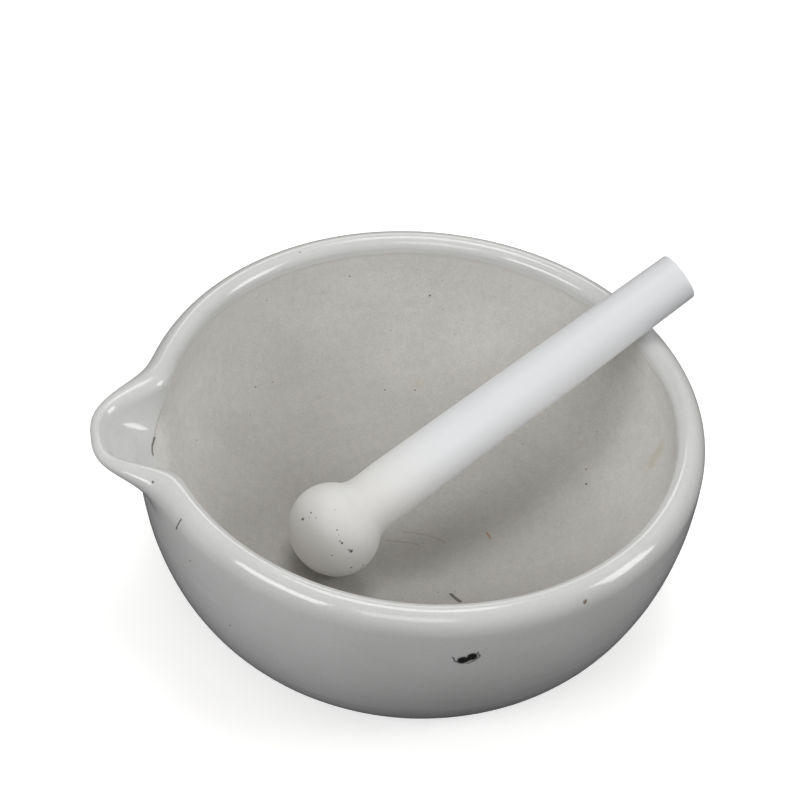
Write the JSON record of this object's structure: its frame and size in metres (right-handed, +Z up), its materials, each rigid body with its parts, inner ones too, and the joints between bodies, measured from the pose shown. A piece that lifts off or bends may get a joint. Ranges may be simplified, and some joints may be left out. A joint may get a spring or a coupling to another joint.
{
  "type": "mortar and pestle",
  "caption": "Round porcelain laboratory mortar with a pouring spout, and a ball-headed pestle that leans in the bowl and is stirred round it to grind and mix.",
  "frame": {"origin": "centre of the mortar's flat foot, on the surface it stands on", "axes": "+Z up along the bowl's axis; -X towards the pouring spout; the pestle's handle leans over the lip 23 degrees from +X towards +Y"},
  "size_m": [0.2375, 0.216, 0.1164],
  "materials": {
    "mortar_porcelain": "glossy clear glaze outside, over the lip and in the spout; bare matt biscuit porcelain inside and under the foot",
    "pestle_porcelain": "satin glaze on the handle, bare matt biscuit porcelain on the head"
  },
  "bodies": {
    "mortar": {"mortar": "mortar_porcelain"},
    "pestle": {"pestle": "pestle_porcelain"}
  },
  "joints": [
    {"name": "pestle_stir", "type": "hinge", "parent": "mortar", "child": "pestle", "pos_m": [0, 0, 0.0135], "axis": [0, 0, 1], "continuous": true}
  ]
}
